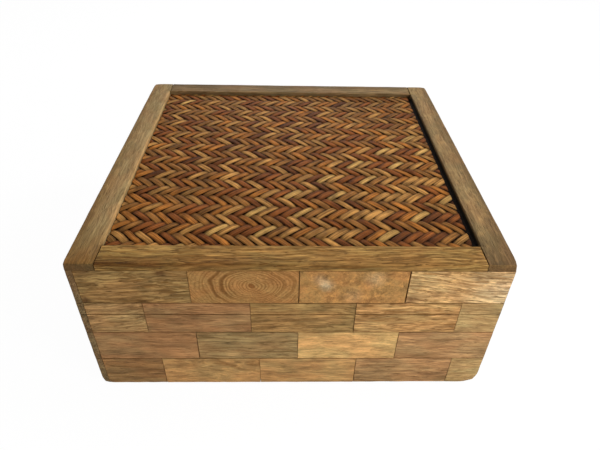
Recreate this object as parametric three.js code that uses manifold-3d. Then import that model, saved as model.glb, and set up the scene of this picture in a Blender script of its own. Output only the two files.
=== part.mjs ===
// A square storage box of reclaimed wood, with a hinged lid that carries a woven panel.
// Millimetres. +Z is up, the front faces -Y and the origin is the middle of the underside.

import * as THREE from 'three';
import { RoundedBoxGeometry } from 'three/addons/geometries/RoundedBoxGeometry.js';
import { mergeVertices } from 'three/addons/utils/BufferGeometryUtils.js';
import Module from 'manifold-3d';

const wasm = await Module();
wasm.setup();

// Outer size
const boxWidth = 300;
const boxDepth = 300;
const easedEdge = 2.5;

// Block tiles, glued on in courses like bricks, the first course lowest
const courseHeight = 30.25;
const tileThickness = 5;
const tileLength = 74.7;
const shortestTile = 15;
const grooveWidth = 0.9;
const glueLine = 0.1;
const courseLine = 0.4;
const cutTileBottom = 45.6;
const cutTileThird = 40.5;
const courses = [
  { name: 'bottom', firstTile: cutTileBottom },
  { name: 'second', firstTile: tileLength },
  { name: 'third', firstTile: cutTileThird },
  { name: 'top', firstTile: tileLength },
];

// The box is glued up shut, then sawn round through the third course, which frees the lid
const courseBelowTop = 1;
const lidShareOfCourse = 11.45;
const seamGap = 0.4;

// Carcass boards behind the tiles
const wallThickness = 8;
const baseThickness = 6;
const lidBoardThickness = 5;

// Plank frame and woven panel on the lid
const railWidth = 20;
const railThickness = 6;
const railJoint = 0.3;
const matThickness = 3;
const matMargin = 0.5;
const matMarginRight = 3.6;

// Butt hinges let into the back edges of body and lid
const hingeInset = 55;
const hingeLength = 30;
const hingeAxisInset = 2.5;
const knuckleCount = 5;
const knuckleGap = 0.2;
const barrelRadius = 2.2;
const barrelClearance = 0.4;
const leafThickness = 1;
const leafBeyondScrews = 2.9;
const leafClearance = 0.2;
const pinRadius = 1;
const pinClearance = 0.06;
const pinHeadRadius = 1.7;
const pinHeadThickness = 0.6;

// The back edges are bevelled from the hinge axis, so the lid leans back until the bevels meet
const openAngle = 100;
const stopClearance = 1;

// Countersunk screws, two in each hinge leaf
const screwSpacing = 17;
const screwLength = 8;
const screwHeadRadius = 1.9;
const screwShankRadius = 0.9;
const screwTipLength = 1.5;
const screwClearance = 0.15;
const slotWidth = 0.5;
const slotDepth = 0.4;

// How finely round shapes are faceted
const roundSides = 20;
const easedSteps = 2;

// How far a cutting shape runs past what it cuts
const cutOverrun = 1;

// Sizes that follow from the ones above
const tileFieldHeight = courses.length * courseHeight;
const boxHeight = tileFieldHeight + railThickness;
const carcassX = boxWidth / 2 - tileThickness - glueLine;
const carcassY = boxDepth / 2 - tileThickness - glueLine;
const seamHeight = (courses.length - courseBelowTop) * courseHeight - lidShareOfCourse;
const bodyTop = seamHeight - seamGap / 2;
const lidBottom = seamHeight + seamGap / 2;
const lidBoardTop = tileFieldHeight;
const lidBoardBottom = lidBoardTop - lidBoardThickness;
const hingeAxisY = boxDepth / 2 - hingeAxisInset;
const hingePlaces = [-boxWidth / 2 + hingeInset, boxWidth / 2 - hingeInset];
const screwSetback = hingeAxisY - (carcassY - wallThickness / 2);
const leafReach = screwSetback + leafBeyondScrews;

const quarterTurn = Math.PI / 2;
const mergeDistance = 1e-4;

// Finishes
function finish(color, roughness, metalness = 0) {
  return new THREE.MeshStandardMaterial({ color, roughness, metalness, flatShading: true });
}

const finishes = {
  carcassWood: () => finish(0xb58e62, 0.8),
  tileWood: () => finish(0xb48a5c, 0.7),
  lightRail: () => finish(0xae8d5e, 0.65),
  greyRail: () => finish(0x9a8466, 0.7),
  strands: () => finish(0x80512f, 0.55),
  brass: () => finish(0xb08d4a, 0.35, 1),
  steel: () => finish(0x8d8d8a, 0.3, 1),
};

// A closed geometry as a solid that can be cut and joined
function solid(geometry) {
  const bare = geometry.clone();
  bare.deleteAttribute('normal');
  bare.deleteAttribute('uv');
  const merged = mergeVertices(bare, mergeDistance);
  const index = merged.index.array;
  const corners = [];
  for (let i = 0; i < index.length; i += 3) {
    const [a, b, c] = index.subarray(i, i + 3);
    const hasArea = a !== b && b !== c && c !== a;
    if (hasArea) corners.push(a, b, c);
  }
  return new wasm.Manifold(new wasm.Mesh({
    numProp: 3,
    vertProperties: merged.attributes.position.array,
    triVerts: new Uint32Array(corners),
  }));
}

function geometryOf(shape) {
  const mesh = shape.getMesh();
  const geometry = new THREE.BufferGeometry();
  geometry.setAttribute('position', new THREE.BufferAttribute(mesh.vertProperties, mesh.numProp));
  geometry.setIndex(new THREE.BufferAttribute(mesh.triVerts, 1));
  geometry.computeVertexNormals();
  return geometry;
}

// Shapes that the pieces are made of
function block(low, high) {
  const geometry = new THREE.BoxGeometry(high.x - low.x, high.y - low.y, high.z - low.z);
  geometry.translate((low.x + high.x) / 2, (low.y + high.y) / 2, (low.z + high.z) / 2);
  return geometry;
}

function rodAlongX(radius, fromX, toX) {
  const geometry = new THREE.CylinderGeometry(radius, radius, toX - fromX, roundSides);
  geometry.rotateZ(-quarterTurn);
  geometry.translate((fromX + toX) / 2, 0, 0);
  return geometry;
}

function prismAlongX(outlineYZ, fromX, toX) {
  const outline = new THREE.Shape(outlineYZ.map(([y, z]) => new THREE.Vector2(y, z)));
  const geometry = new THREE.ExtrudeGeometry(outline, { depth: toX - fromX, bevelEnabled: false });
  const alongX = new THREE.Matrix4().makeBasis(
    new THREE.Vector3(0, 1, 0),
    new THREE.Vector3(0, 0, 1),
    new THREE.Vector3(1, 0, 0),
  );
  geometry.applyMatrix4(alongX);
  geometry.translate(fromX, 0, 0);
  return geometry;
}

function turned(profile) {
  return new THREE.LatheGeometry(profile.map(([r, h]) => new THREE.Vector2(r, h)), roundSides);
}

// The whole box with every outer arris eased: what is outside it is sanded off
function easedBox() {
  const geometry = new RoundedBoxGeometry(boxWidth, boxDepth, boxHeight, easedSteps, easedEdge);
  geometry.translate(0, 0, boxHeight / 2);
  return solid(geometry);
}

const envelope = easedBox();

// The four sides, each seen from outside with its own left and right.
// Each course starts behind the side on its left and runs on over the end of the one on its right.
const sides = [
  { name: 'front', quarterTurns: 0, run: boxWidth, reach: boxDepth / 2 },
  { name: 'right', quarterTurns: 1, run: boxDepth, reach: boxWidth / 2 },
  { name: 'back', quarterTurns: 2, run: boxWidth, reach: boxDepth / 2 },
  { name: 'left', quarterTurns: 3, run: boxDepth, reach: boxWidth / 2 },
];

// Where the joints between tiles lie along one course
function tileJoints(start, end, firstTile) {
  const joints = [];
  for (let joint = start + firstTile; joint < end - shortestTile; joint += tileLength) {
    joints.push(joint);
  }
  return joints;
}

// One side's share of a course, grooved at every tile joint
function tileCourse(side, course, fromZ, toZ) {
  const start = -side.run / 2 + tileThickness + glueLine;
  const end = side.run / 2;
  const outer = -side.reach;
  const inner = outer + tileThickness;
  const outline = new THREE.Shape();
  outline.moveTo(start, outer);
  for (const joint of tileJoints(start, end, course.firstTile)) {
    outline.lineTo(joint - grooveWidth / 2, outer);
    outline.lineTo(joint, outer + grooveWidth);
    outline.lineTo(joint + grooveWidth / 2, outer);
  }
  outline.lineTo(end, outer);
  outline.lineTo(end, inner);
  outline.lineTo(start, inner);
  outline.closePath();
  const geometry = new THREE.ExtrudeGeometry(outline, { depth: toZ - fromZ, bevelEnabled: false });
  geometry.translate(0, 0, fromZ);
  geometry.rotateZ(side.quarterTurns * quarterTurn);
  return solid(geometry).intersect(envelope);
}

// Carcass boards: front and back run the full width, the other two stand between them
function wall(side, fromZ, toZ) {
  const overEnds = side.name === 'front' || side.name === 'back';
  const between = carcassY - wallThickness - glueLine;
  const outer = overEnds ? carcassY : carcassX;
  const half = overEnds ? carcassX : between;
  const low = { x: -half, y: -outer, z: fromZ };
  const high = { x: half, y: -outer + wallThickness, z: toZ };
  const geometry = block(low, high);
  geometry.rotateZ(side.quarterTurns * quarterTurn);
  return solid(geometry);
}

function carcassBoard(fromZ, toZ) {
  const low = { x: -carcassX, y: -carcassY, z: fromZ };
  const high = { x: carcassX, y: carcassY, z: toZ };
  return solid(block(low, high));
}

// Lid frame: the side rails run the full depth, the other two are fitted between them
function sideRail(sign) {
  const outer = sign * boxWidth / 2;
  const inner = sign * (boxWidth / 2 - railWidth);
  return rail(Math.min(outer, inner), Math.max(outer, inner), -boxDepth / 2, boxDepth / 2);
}

function crossRail(sign) {
  const outer = sign * boxDepth / 2;
  const inner = sign * (boxDepth / 2 - railWidth);
  const half = boxWidth / 2 - railWidth - railJoint;
  return rail(-half, half, Math.min(outer, inner), Math.max(outer, inner));
}

function rail(fromX, toX, fromY, toY) {
  const low = { x: fromX, y: fromY, z: tileFieldHeight + glueLine };
  const high = { x: toX, y: toY, z: boxHeight };
  return solid(block(low, high)).intersect(envelope);
}

// The woven panel as one slab, short of the right rail as the real one is
function wovenMat() {
  const halfX = boxWidth / 2 - railWidth;
  const halfY = boxDepth / 2 - railWidth - matMargin;
  const fromZ = lidBoardTop + glueLine;
  const low = { x: -halfX + matMargin, y: -halfY, z: fromZ };
  const high = { x: halfX - matMarginRight, y: halfY, z: fromZ + matThickness };
  return solid(block(low, high));
}

// Hinges are made round their own axis: X along the pin, -Y towards the box's inside.
// The body's half hangs below the axis, and the lid's half is the same turned over.
const knuckleLength = (hingeLength - (knuckleCount - 1) * knuckleGap) / knuckleCount;
const leafTop = -seamGap / 2;
const leafBottom = leafTop - leafThickness;
const screwPlaces = [-screwSpacing / 2, screwSpacing / 2];

function hingeLeaf(firstKnuckle) {
  const half = hingeLength / 2;
  const clearOfBarrel = -(barrelRadius + barrelClearance);
  let leaf = solid(block(
    { x: -half, y: -leafReach, z: leafBottom },
    { x: half, y: clearOfBarrel, z: leafTop },
  ));
  for (let knuckle = firstKnuckle; knuckle < knuckleCount; knuckle += 2) {
    const fromX = -half + knuckle * (knuckleLength + knuckleGap);
    const toX = fromX + knuckleLength;
    leaf = leaf.add(solid(rodAlongX(barrelRadius, fromX, toX)));
    leaf = leaf.add(solid(block(
      { x: fromX, y: clearOfBarrel - pinRadius, z: leafBottom },
      { x: toX, y: 0, z: leafTop },
    )));
  }
  const bore = rodAlongX(pinRadius + pinClearance, -half - cutOverrun, half + cutOverrun);
  leaf = leaf.subtract(solid(bore));
  for (const x of screwPlaces) leaf = leaf.subtract(screwHole(x));
  return leaf;
}

function hingePin() {
  const inner = hingeLength / 2 + knuckleGap / 2;
  const outer = inner + pinHeadThickness;
  const shoulder = inner + pinHeadThickness / 2;
  const crown = pinHeadRadius * 0.7;
  const geometry = turned([
    [0, -outer], [crown, -outer], [pinHeadRadius, -shoulder], [pinHeadRadius, -inner], [pinRadius, -inner],
    [pinRadius, inner], [pinHeadRadius, inner], [pinHeadRadius, shoulder], [crown, outer], [0, outer],
  ]);
  geometry.rotateZ(-quarterTurn);
  return solid(geometry);
}

// A screw's outline from tip to head, widened by the clearance where it is a hole
function screwProfile(clearance, headTop) {
  const head = screwHeadRadius + clearance;
  const shank = screwShankRadius + clearance;
  const headHeight = screwHeadRadius - screwShankRadius;
  return turned([
    [0, -screwLength - clearance],
    [shank, -screwLength + screwTipLength],
    [shank, -headHeight],
    [head, 0],
    [head, headTop],
    [0, headTop],
  ]);
}

function screw(x) {
  const shank = solid(placedAtScrew(screwProfile(0, 0), x));
  const slot = block(
    { x: -screwHeadRadius - cutOverrun, y: -slotDepth, z: -slotWidth / 2 },
    { x: screwHeadRadius + cutOverrun, y: cutOverrun, z: slotWidth / 2 },
  );
  return shank.subtract(solid(placedAtScrew(slot, x)));
}

function screwHole(x) {
  return solid(placedAtScrew(screwProfile(screwClearance, cutOverrun), x));
}

// From the screw's own frame, with its axis along Y, to its place in the body's leaf
function placedAtScrew(geometry, x) {
  geometry.rotateX(quarterTurn);
  geometry.translate(x, -screwSetback, leafTop);
  return geometry;
}

// What the wood loses for one hinge half: the leaf's mortise, the barrel's pocket and the screw holes
function hingeMortise() {
  const half = hingeLength / 2 + knuckleGap / 2 + pinHeadThickness + barrelClearance;
  let cut = solid(block(
    { x: -hingeLength / 2 - leafClearance, y: -leafReach - leafClearance, z: leafBottom - leafClearance },
    { x: hingeLength / 2 + leafClearance, y: 0, z: cutOverrun },
  ));
  cut = cut.add(solid(rodAlongX(barrelRadius + barrelClearance, -half, half)));
  for (const x of screwPlaces) cut = cut.add(screwHole(x));
  return cut;
}

// The bevel behind the hinge axis, on the body's side of the seam
function backBevel() {
  const slope = Math.tan(THREE.MathUtils.degToRad((openAngle + stopClearance) / 2));
  const past = hingeAxisInset + cutOverrun;
  const half = boxWidth / 2 + cutOverrun;
  return solid(prismAlongX([[0, 0], [past, -past * slope], [past, 0]], -half, half));
}

// All that is cut from the body's back edge, and the same turned over in degrees for the lid's
function backEdgeCut(turnOver) {
  let cut = backBevel();
  for (const x of hingePlaces) cut = cut.add(hingeMortise().translate([x, 0, 0]));
  return cut.rotate([0, turnOver, 0]).translate([0, hingeAxisY, seamHeight]);
}

const bodyCut = backEdgeCut(0);
const lidCut = backEdgeCut(180);

// Assembly
const box = new THREE.Group();
const body = new THREE.Group();
box.add(body);

// The lid's group turns about the hinge axis
const lidPivot = new THREE.Group();
lidPivot.position.set(0, hingeAxisY, seamHeight);
box.add(lidPivot);
const lid = new THREE.Group();
lid.position.copy(lidPivot.position).negate();
lidPivot.add(lid);

function addPiece(group, name, shape, material) {
  const mesh = new THREE.Mesh(geometryOf(shape), material);
  mesh.name = name;
  group.add(mesh);
  return mesh;
}

function addTiles() {
  for (const side of sides) {
    courses.forEach((course, number) => {
      const isTop = number === courses.length - 1;
      const fromZ = number === 0 ? 0 : number * courseHeight + courseLine / 2;
      const toZ = (number + 1) * courseHeight - (isTop ? 0 : courseLine / 2);
      const isSawn = fromZ < bodyTop && toZ > lidBottom;
      const name = `${side.name}_tiles_${course.name}`;
      if (fromZ < bodyTop) {
        const shape = tileCourse(side, course, fromZ, Math.min(toZ, bodyTop)).subtract(bodyCut);
        addPiece(body, isSawn ? `${name}_lower` : name, shape, finishes.tileWood());
      }
      if (toZ > lidBottom) {
        const shape = tileCourse(side, course, Math.max(fromZ, lidBottom), toZ).subtract(lidCut);
        addPiece(lid, isSawn ? `${name}_upper` : name, shape, finishes.tileWood());
      }
    });
  }
}

function addCarcass() {
  addPiece(body, 'base_board', carcassBoard(0, baseThickness), finishes.carcassWood());
  addPiece(lid, 'lid_board', carcassBoard(lidBoardBottom, lidBoardTop), finishes.carcassWood());
  for (const side of sides) {
    const bodyWall = wall(side, baseThickness + glueLine, bodyTop).subtract(bodyCut);
    addPiece(body, `${side.name}_wall`, bodyWall, finishes.carcassWood());
    const lidWall = wall(side, lidBottom, lidBoardBottom - glueLine).subtract(lidCut);
    addPiece(lid, `lid_${side.name}_wall`, lidWall, finishes.carcassWood());
  }
}

function addLidTop() {
  addPiece(lid, 'left_rail', sideRail(-1), finishes.lightRail());
  addPiece(lid, 'right_rail', sideRail(1), finishes.greyRail());
  addPiece(lid, 'front_rail', crossRail(-1), finishes.lightRail());
  addPiece(lid, 'back_rail', crossRail(1), finishes.greyRail());
  addPiece(lid, 'woven_mat', wovenMat(), finishes.strands());
}

// One hinge: the group stands at the middle of its pin, and its lid half is turned over
function addHinge(name, x) {
  const bodyHalf = new THREE.Group();
  bodyHalf.position.set(x, hingeAxisY, seamHeight);
  body.add(bodyHalf);
  const lidHalf = new THREE.Group();
  lidHalf.position.set(x, 0, 0);
  lidHalf.rotation.y = Math.PI;
  lidPivot.add(lidHalf);
  addPiece(bodyHalf, `${name}_pin`, hingePin(), finishes.steel());
  addPiece(bodyHalf, `${name}_body_leaf`, hingeLeaf(0), finishes.brass());
  addPiece(lidHalf, `${name}_lid_leaf`, hingeLeaf(1), finishes.brass());
  screwPlaces.forEach((place, number) => {
    addPiece(bodyHalf, `${name}_body_screw_${number + 1}`, screw(place), finishes.brass());
    addPiece(lidHalf, `${name}_lid_screw_${number + 1}`, screw(place), finishes.brass());
  });
}

addCarcass();
addTiles();
addLidTop();
addHinge('left_hinge', hingePlaces[0]);
addHinge('right_hinge', hingePlaces[1]);

export default box;
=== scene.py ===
"""A storage box of reclaimed wood blocks with a herringbone woven panel in its lid."""
import math
import random

import bpy
from mathutils import Matrix, Vector
from mathutils.kdtree import KDTree


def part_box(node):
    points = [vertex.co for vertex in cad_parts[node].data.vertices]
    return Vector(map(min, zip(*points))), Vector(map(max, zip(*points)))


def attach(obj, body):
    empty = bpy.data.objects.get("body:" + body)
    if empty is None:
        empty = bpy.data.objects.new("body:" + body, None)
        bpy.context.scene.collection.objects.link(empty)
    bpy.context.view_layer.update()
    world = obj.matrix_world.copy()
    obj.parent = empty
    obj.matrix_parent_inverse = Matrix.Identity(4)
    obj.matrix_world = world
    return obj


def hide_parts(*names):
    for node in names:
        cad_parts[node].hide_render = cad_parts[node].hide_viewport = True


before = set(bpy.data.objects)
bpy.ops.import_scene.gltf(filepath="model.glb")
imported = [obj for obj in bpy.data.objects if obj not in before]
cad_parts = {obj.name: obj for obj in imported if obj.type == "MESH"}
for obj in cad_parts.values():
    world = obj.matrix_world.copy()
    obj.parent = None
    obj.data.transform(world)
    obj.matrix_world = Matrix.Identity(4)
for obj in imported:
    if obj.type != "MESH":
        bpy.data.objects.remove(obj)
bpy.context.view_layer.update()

MM = 0.001
X, Y, Z = 0, 1, 2

# Camera, fitted to the photograph's 600 x 450 frame
FRAME_WIDTH_PX = 600
FRAME_HEIGHT_PX = 450
FOCAL_PX = 511.8
OPTICAL_CENTRE_PX = (300.0, 236.5)
SENSOR_WIDTH_MM = 36
CAMERA_PLACE = Vector((-4.9, -400.4, 349.7)) * MM
CAMERA_PITCH = math.radians(38.47)
CAMERA_YAW = math.radians(-2.03)
CAMERA_ROLL = math.radians(1.54)
NEAREST_SEEN = 10 * MM

# Floor: its width in m, its paint, how it glows as a background and how much of it that glow is
FLOOR_WIDTH = 12
FLOOR_PAINT = (0.9, 0.9, 0.9, 1)
FLOOR_ROUGHNESS = 0.9
FLOOR_GLOW = 1.03
FLOOR_GLOW_SHARE = 0.94

# Outer form of the box, and how its edges are eased
HALF_BOX = 150 * MM
BOX_HEIGHT = 127 * MM
WIDEST_EASING = 5 * MM
EASED_EDGE = 1.2 * MM
EASED_FOOT = 0.6 * MM
EASED_STEPS = 4
END_GRAIN_DEPTH = 0.5 * EASED_EDGE

# What counts as on a face, what as along an axis, and what as a round edge up to how many degrees
ON_FACE = 0.01 * MM
ALONG_AXIS = 0.99
ROUND_EDGE = 35
ROUND_STRAND_EDGE = 60

# Block tiles: the same joints as the grooves in the courses
TILE_THICKNESS = 5 * MM
TILE_LENGTH = 74.7 * MM
SHORTEST_TILE = 15 * MM
GLUE_LINE = 0.1 * MM
FIRST_TILE = {"bottom": 45.6 * MM, "second": TILE_LENGTH, "third": 40.5 * MM, "top": TILE_LENGTH}
TILE_CELL = 3.2 * MM
TILE_GAP = 0.01 * MM
TILE_ARRIS = 0.1 * MM
TILE_WEAR = 0.35 * MM
TILE_WEAR_SIZE = 9 * MM
TILE_SET_BACK = 0.15 * MM
TILE_SOIL = (0.94, 1.06)
FAR_FROM_RIM = 50 * MM

# How far a block reaches past its course, up and down, so that the line between courses is fine
COURSE_CLOSING = 0.035 * MM

# The strips of a side from the foot up, by course, each with the body that it rides on
COURSES = {
    "bottom": [("tiles_bottom", "body")],
    "second": [("tiles_second", "body")],
    "third": [("tiles_third_lower", "body"), ("tiles_third_upper", "lid")],
    "top": [("tiles_top", "lid")],
}

# Growth rings of the timber, in mm
RING_SPACING = 1.5
RING_UNEVENNESS = 3.0
WIDE_RING_SPACING = 4.4
WIDE_RING_START = 13.4

# Corners that use has rubbed round: side in X and Y, 0 at the foot or 1 on top, reach and depth in mm
SANDED_CORNERS = [
    (1, -1, 0, 12, 2.7),
    (-1, -1, 0, 8, 1.6),
    (1, 1, 0, 9, 2.0),
    (-1, 1, 0, 9, 1.6),
    (1, -1, 1, 8, 1.4),
    (-1, -1, 1, 7, 0.8),
    (1, 1, 1, 7, 1.0),
    (-1, 1, 1, 7, 1.0),
]

# Chips on the rims of the front's blocks: right of the middle, height, reach and depth in mm
CHIPS = [
    (-88, 121, 5, 1.8),
    (83, 92, 5, 1.5),
    (-143, 92, 4, 1.2),
]

# How steeply a sunk place rises to its rim
SINK_POWER = 1.5

# The hinge side: bevels from the hinge axis, each half of the 101 degrees at which they meet
SEAM_HEIGHT = 79.3 * MM
HINGE_AXIS_Y = 147.5 * MM
HINGE_PLACES = (-95 * MM, 95 * MM)
BEVEL_ANGLE = math.radians(50.5)

# Pockets for the hinges' barrels and leaves, and how far they reach each way from their middle
BARREL_POCKET_REACH = 16.1 * MM
BARREL_POCKET_RADIUS = 2.6 * MM
BARREL_POCKET_SIDES = 32
LEAF_POCKET_REACH = Vector((15.1, 6, 1.4)) * MM
LEAF_POCKET_INSET = 4 * MM

# Rails of the lid's frame, and how far its opening reaches from the middle
RAIL_WIDTH = 20 * MM
OPENING_REACH = HALF_BOX - RAIL_WIDTH
RAIL_CELL = 5 * MM
RAIL_ARRIS = 0.7 * MM
RAIL_HALF_THICKNESS = 3 * MM
RAIL_WEAR = 0.3 * MM
RAIL_WEAR_SIZE = 14 * MM
# How far the front rail's edge stain and the other rails' painted edge shadow reach, and how far the side
# rails' front ends are darkened
EDGE_STAIN_AND_SHADOW_REACH = 7 * MM
FRONT_END_DARKENING_REACH = 45 * MM

# Woven panel: two families of split cane, each strand over three and under three
STRAND_ANGLE = math.radians(42.6)
WEAVE_TURN = math.radians(-2.3)
WEAVE_SHIFT = Vector((0, 8, 0)) * MM
WEAVE_SKEW = 0.22
WEAVE_SKEW_START = -50 * MM
STRAND_PITCH = 6.0 * MM
FALLING_WIDTH = 5.7 * MM
RISING_WIDTH = 6.1 * MM
STRAND_THICKNESS = 1.3 * MM
STRAND_LIFT = 0.85 * MM
STRAND_SHOVE = 0.35 * MM
WIDTH_SPREAD = (0.93, 1.04)
THICKNESS_SPREAD = (0.94, 1.0)
FLOAT_FLATNESS = 1.5
SECTION_SIDES = 10
RINGS_PER_REPEAT = 24
CROSSINGS_PER_REPEAT = 6
REPEATS = 12
REPEAT_SEAM = 0.05 * MM
STRANDS_EACH_WAY = 31
CROSSING_STEP = STRAND_PITCH / math.sin(2 * STRAND_ANGLE)
REPEAT_LENGTH = CROSSINGS_PER_REPEAT * CROSSING_STEP
PATTERN_SPREAD_MM = 500
WEAVE_WOBBLE = 2.0 * MM
WEAVE_WOBBLE_SIZE = 30 * MM
STRAND_WEAR = 0.5 * MM
STRAND_WEAR_SIZE = 7 * MM

# How far the crests of each family are moved along its strands, in crossings
FALLING_CREST = 1.0
RISING_CREST = 4.0


def linear(red, green, blue):
    """A colour as seen on a screen, 0 to 255, in Blender's linear values."""
    def channel(value):
        value = value / 255
        return value / 12.92 if value <= 0.04045 else ((value + 0.055) / 1.055) ** 2.4
    return (channel(red), channel(green), channel(blue), 1.0)


def blend(plain, other, share):
    """The tone that lies this share of the way from one tone to another."""
    return [start + share * (end - start) for start, end in zip(plain, other)]


# Wood tones, named as a joiner would sort the blocks
STRAW = linear(200, 162, 110)
HONEY = linear(212, 169, 109)
GOLDEN = linear(192, 150, 96)
TAN = linear(181, 144, 95)
AMBER = linear(173, 128, 75)
OLIVE = linear(165, 130, 80)
GREY_OLIVE = linear(168, 137, 91)
BROWN = linear(162, 123, 78)
RED_BROWN = linear(168, 127, 84)
PINK_BROWN = linear(174, 135, 91)
PALE_OLIVE = linear(182, 151, 101)
END_GRAIN = linear(138, 112, 76)
BLEACHED = linear(240, 222, 188)
CHIPPED = linear(84, 48, 24)
LEFT_RAIL_TONE = linear(167, 138, 94)
# The left and right edge tones are painted shadow along the outer edges of the side and back rails' tops
LEFT_EDGE_SHADOW_TONE = linear(138, 100, 52)
RIGHT_RAIL_TONE = linear(154, 125, 84)
RIGHT_EDGE_SHADOW_TONE = linear(104, 80, 50)
FRONT_RAIL_TONE = linear(176, 136, 76)
FRONT_EDGE_TONE = linear(104, 64, 24)
BACK_RAIL_TONE = linear(138, 112, 75)
RAIL_END_TONE = linear(124, 96, 58)
BLOCK_TONES = [STRAW, GOLDEN, TAN, AMBER, OLIVE, GREY_OLIVE, BROWN, RED_BROWN, PINK_BROWN]


# Modelling helpers

def deselect_all():
    bpy.ops.object.select_all(action="DESELECT")


def activate(piece):
    deselect_all()
    piece.select_set(True)
    bpy.context.view_layer.objects.active = piece


def settle(piece):
    """Puts a piece's place, turn and scale into its mesh."""
    activate(piece)
    bpy.ops.object.transform_apply(location=True, rotation=True, scale=True)


def add_bar(name, low, high):
    """A bar between two corners, as the start of a board, tile or rail."""
    deselect_all()
    bpy.ops.mesh.primitive_cube_add(size=1, location=(low + high) / 2, scale=high - low)
    bar = bpy.context.object
    bar.name = name
    settle(bar)
    return bar


def edge_ends(mesh, edge):
    return [mesh.vertices[number].co for number in edge.vertices]


def cut_across(piece, axis, cell):
    """Cuts a piece across one axis into cells of about the given length."""
    activate(piece)
    mesh = piece.data
    low = min(v.co[axis] for v in mesh.vertices)
    high = max(v.co[axis] for v in mesh.vertices)
    cuts = round((high - low) / cell) - 1
    if cuts < 1:
        return
    chosen = []
    for edge in mesh.edges:
        start, end = edge_ends(mesh, edge)
        chosen.append(abs(end[axis] - start[axis]) > ALONG_AXIS * (end - start).length)
    bpy.context.tool_settings.mesh_select_mode = (False, True, False)
    for parts in (mesh.polygons, mesh.vertices):
        parts.foreach_set("select", [False] * len(parts))
    mesh.edges.foreach_set("select", chosen)
    bpy.ops.object.mode_set(mode="EDIT")
    bpy.ops.mesh.subdivide(number_cuts=cuts)
    bpy.ops.object.mode_set(mode="OBJECT")


def apply_modifier(piece, modifier):
    activate(piece)
    bpy.ops.object.modifier_apply(modifier=modifier.name)


def ease_edges(piece, width_of):
    """Rounds each edge by its own width: width_of(start, end), 0 to leave it sharp."""
    mesh = piece.data
    weights = mesh.attributes.new("bevel_weight_edge", "FLOAT", "EDGE")
    weights.data.foreach_set("value", [width_of(*edge_ends(mesh, e)) / WIDEST_EASING for e in mesh.edges])
    bevel = piece.modifiers.new("bevel", "BEVEL")
    bevel.width = WIDEST_EASING
    bevel.segments = EASED_STEPS
    bevel.limit_method = "WEIGHT"
    apply_modifier(piece, bevel)
    mesh.attributes.remove(mesh.attributes["bevel_weight_edge"])


def wear_down(piece, texture, depth, direction="NORMAL"):
    """Moves the surface unevenly; along its normal it only ever sinks."""
    wear = piece.modifiers.new("wear", "DISPLACE")
    wear.texture = texture
    wear.texture_coords = "LOCAL"
    wear.direction = direction
    wear.mid_level = 1.0 if direction == "NORMAL" else 0.5
    wear.strength = depth
    apply_modifier(piece, wear)


def smooth_round_edges(piece, degrees=ROUND_EDGE):
    """Shades a piece smooth, except across edges that turn by more than the degrees."""
    activate(piece)
    bpy.ops.object.shade_smooth_by_angle(angle=math.radians(degrees))


def put_in_scene(thing):
    bpy.context.scene.collection.objects.link(thing)


def copy_of(piece, name):
    twin = piece.copy()
    twin.data = piece.data.copy()
    twin.name = name
    put_in_scene(twin)
    return twin


def join(pieces, name):
    deselect_all()
    for piece in pieces:
        piece.select_set(True)
    bpy.context.view_layer.objects.active = pieces[0]
    bpy.ops.object.join()
    joined = bpy.context.object
    joined.name = name
    joined.data.name = name
    return joined


def clouds(name, size):
    texture = bpy.data.textures.new(name, "CLOUDS")
    texture.noise_scale = size
    texture.noise_depth = 2
    return texture


def cut_away(piece, cutter):
    """Takes the cutter's space from a piece, and the cutter from the scene."""
    cut = piece.modifiers.new("cut", "BOOLEAN")
    cut.operation = "DIFFERENCE"
    cut.solver = "EXACT"
    cut.object = cutter
    apply_modifier(piece, cut)
    bpy.data.objects.remove(cutter)


def bisect_away(piece, point, outward):
    """Cuts a piece along a plane and drops what lies on its outward side."""
    activate(piece)
    bpy.ops.object.mode_set(mode="EDIT")
    bpy.ops.mesh.select_all(action="SELECT")
    bpy.ops.mesh.bisect(plane_co=point, plane_no=outward, use_fill=True, clear_outer=True)
    bpy.ops.object.mode_set(mode="OBJECT")


def store(piece, name, kind, key, value_of):
    """Keeps one value per vertex for the materials: value_of(place)."""
    attribute = piece.data.attributes.new(name, kind, "POINT")
    values = []
    for vertex in piece.data.vertices:
        values.extend(value_of(vertex.co))
    attribute.data.foreach_set(key, values)


def store_tone(piece, value_of):
    store(piece, "tone", "FLOAT_COLOR", "color", value_of)


def store_vector(piece, name, value_of):
    store(piece, name, "FLOAT_VECTOR", "vector", value_of)


def inform_new_vertices(piece):
    """Vertices that a cut has made take over what their nearest neighbour keeps for the materials."""
    mesh = piece.data
    kept = {"tone": "color", "timber": "vector", "figure": "vector", "border": "vector"}
    # Every vertex has some soil and shade above 0, until a cut makes a new one
    is_new = [border.vector.y == 0 for border in mesh.attributes["border"].data]
    neighbours = KDTree(len(mesh.vertices))
    for vertex in mesh.vertices:
        if not is_new[vertex.index]:
            neighbours.insert(vertex.co, vertex.index)
    neighbours.balance()
    for vertex in mesh.vertices:
        if is_new[vertex.index]:
            _, nearest, _ = neighbours.find(vertex.co)
            for name, key in kept.items():
                values = mesh.attributes[name].data
                setattr(values[vertex.index], key, getattr(values[nearest], key))


def finish(piece, material, body, node):
    """Gives a piece its material, and says what it rides on and which CAD node it replaces."""
    piece.data.materials.clear()
    piece.data.materials.append(material)
    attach(piece, body)
    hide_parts(node)


# Material helpers

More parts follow.
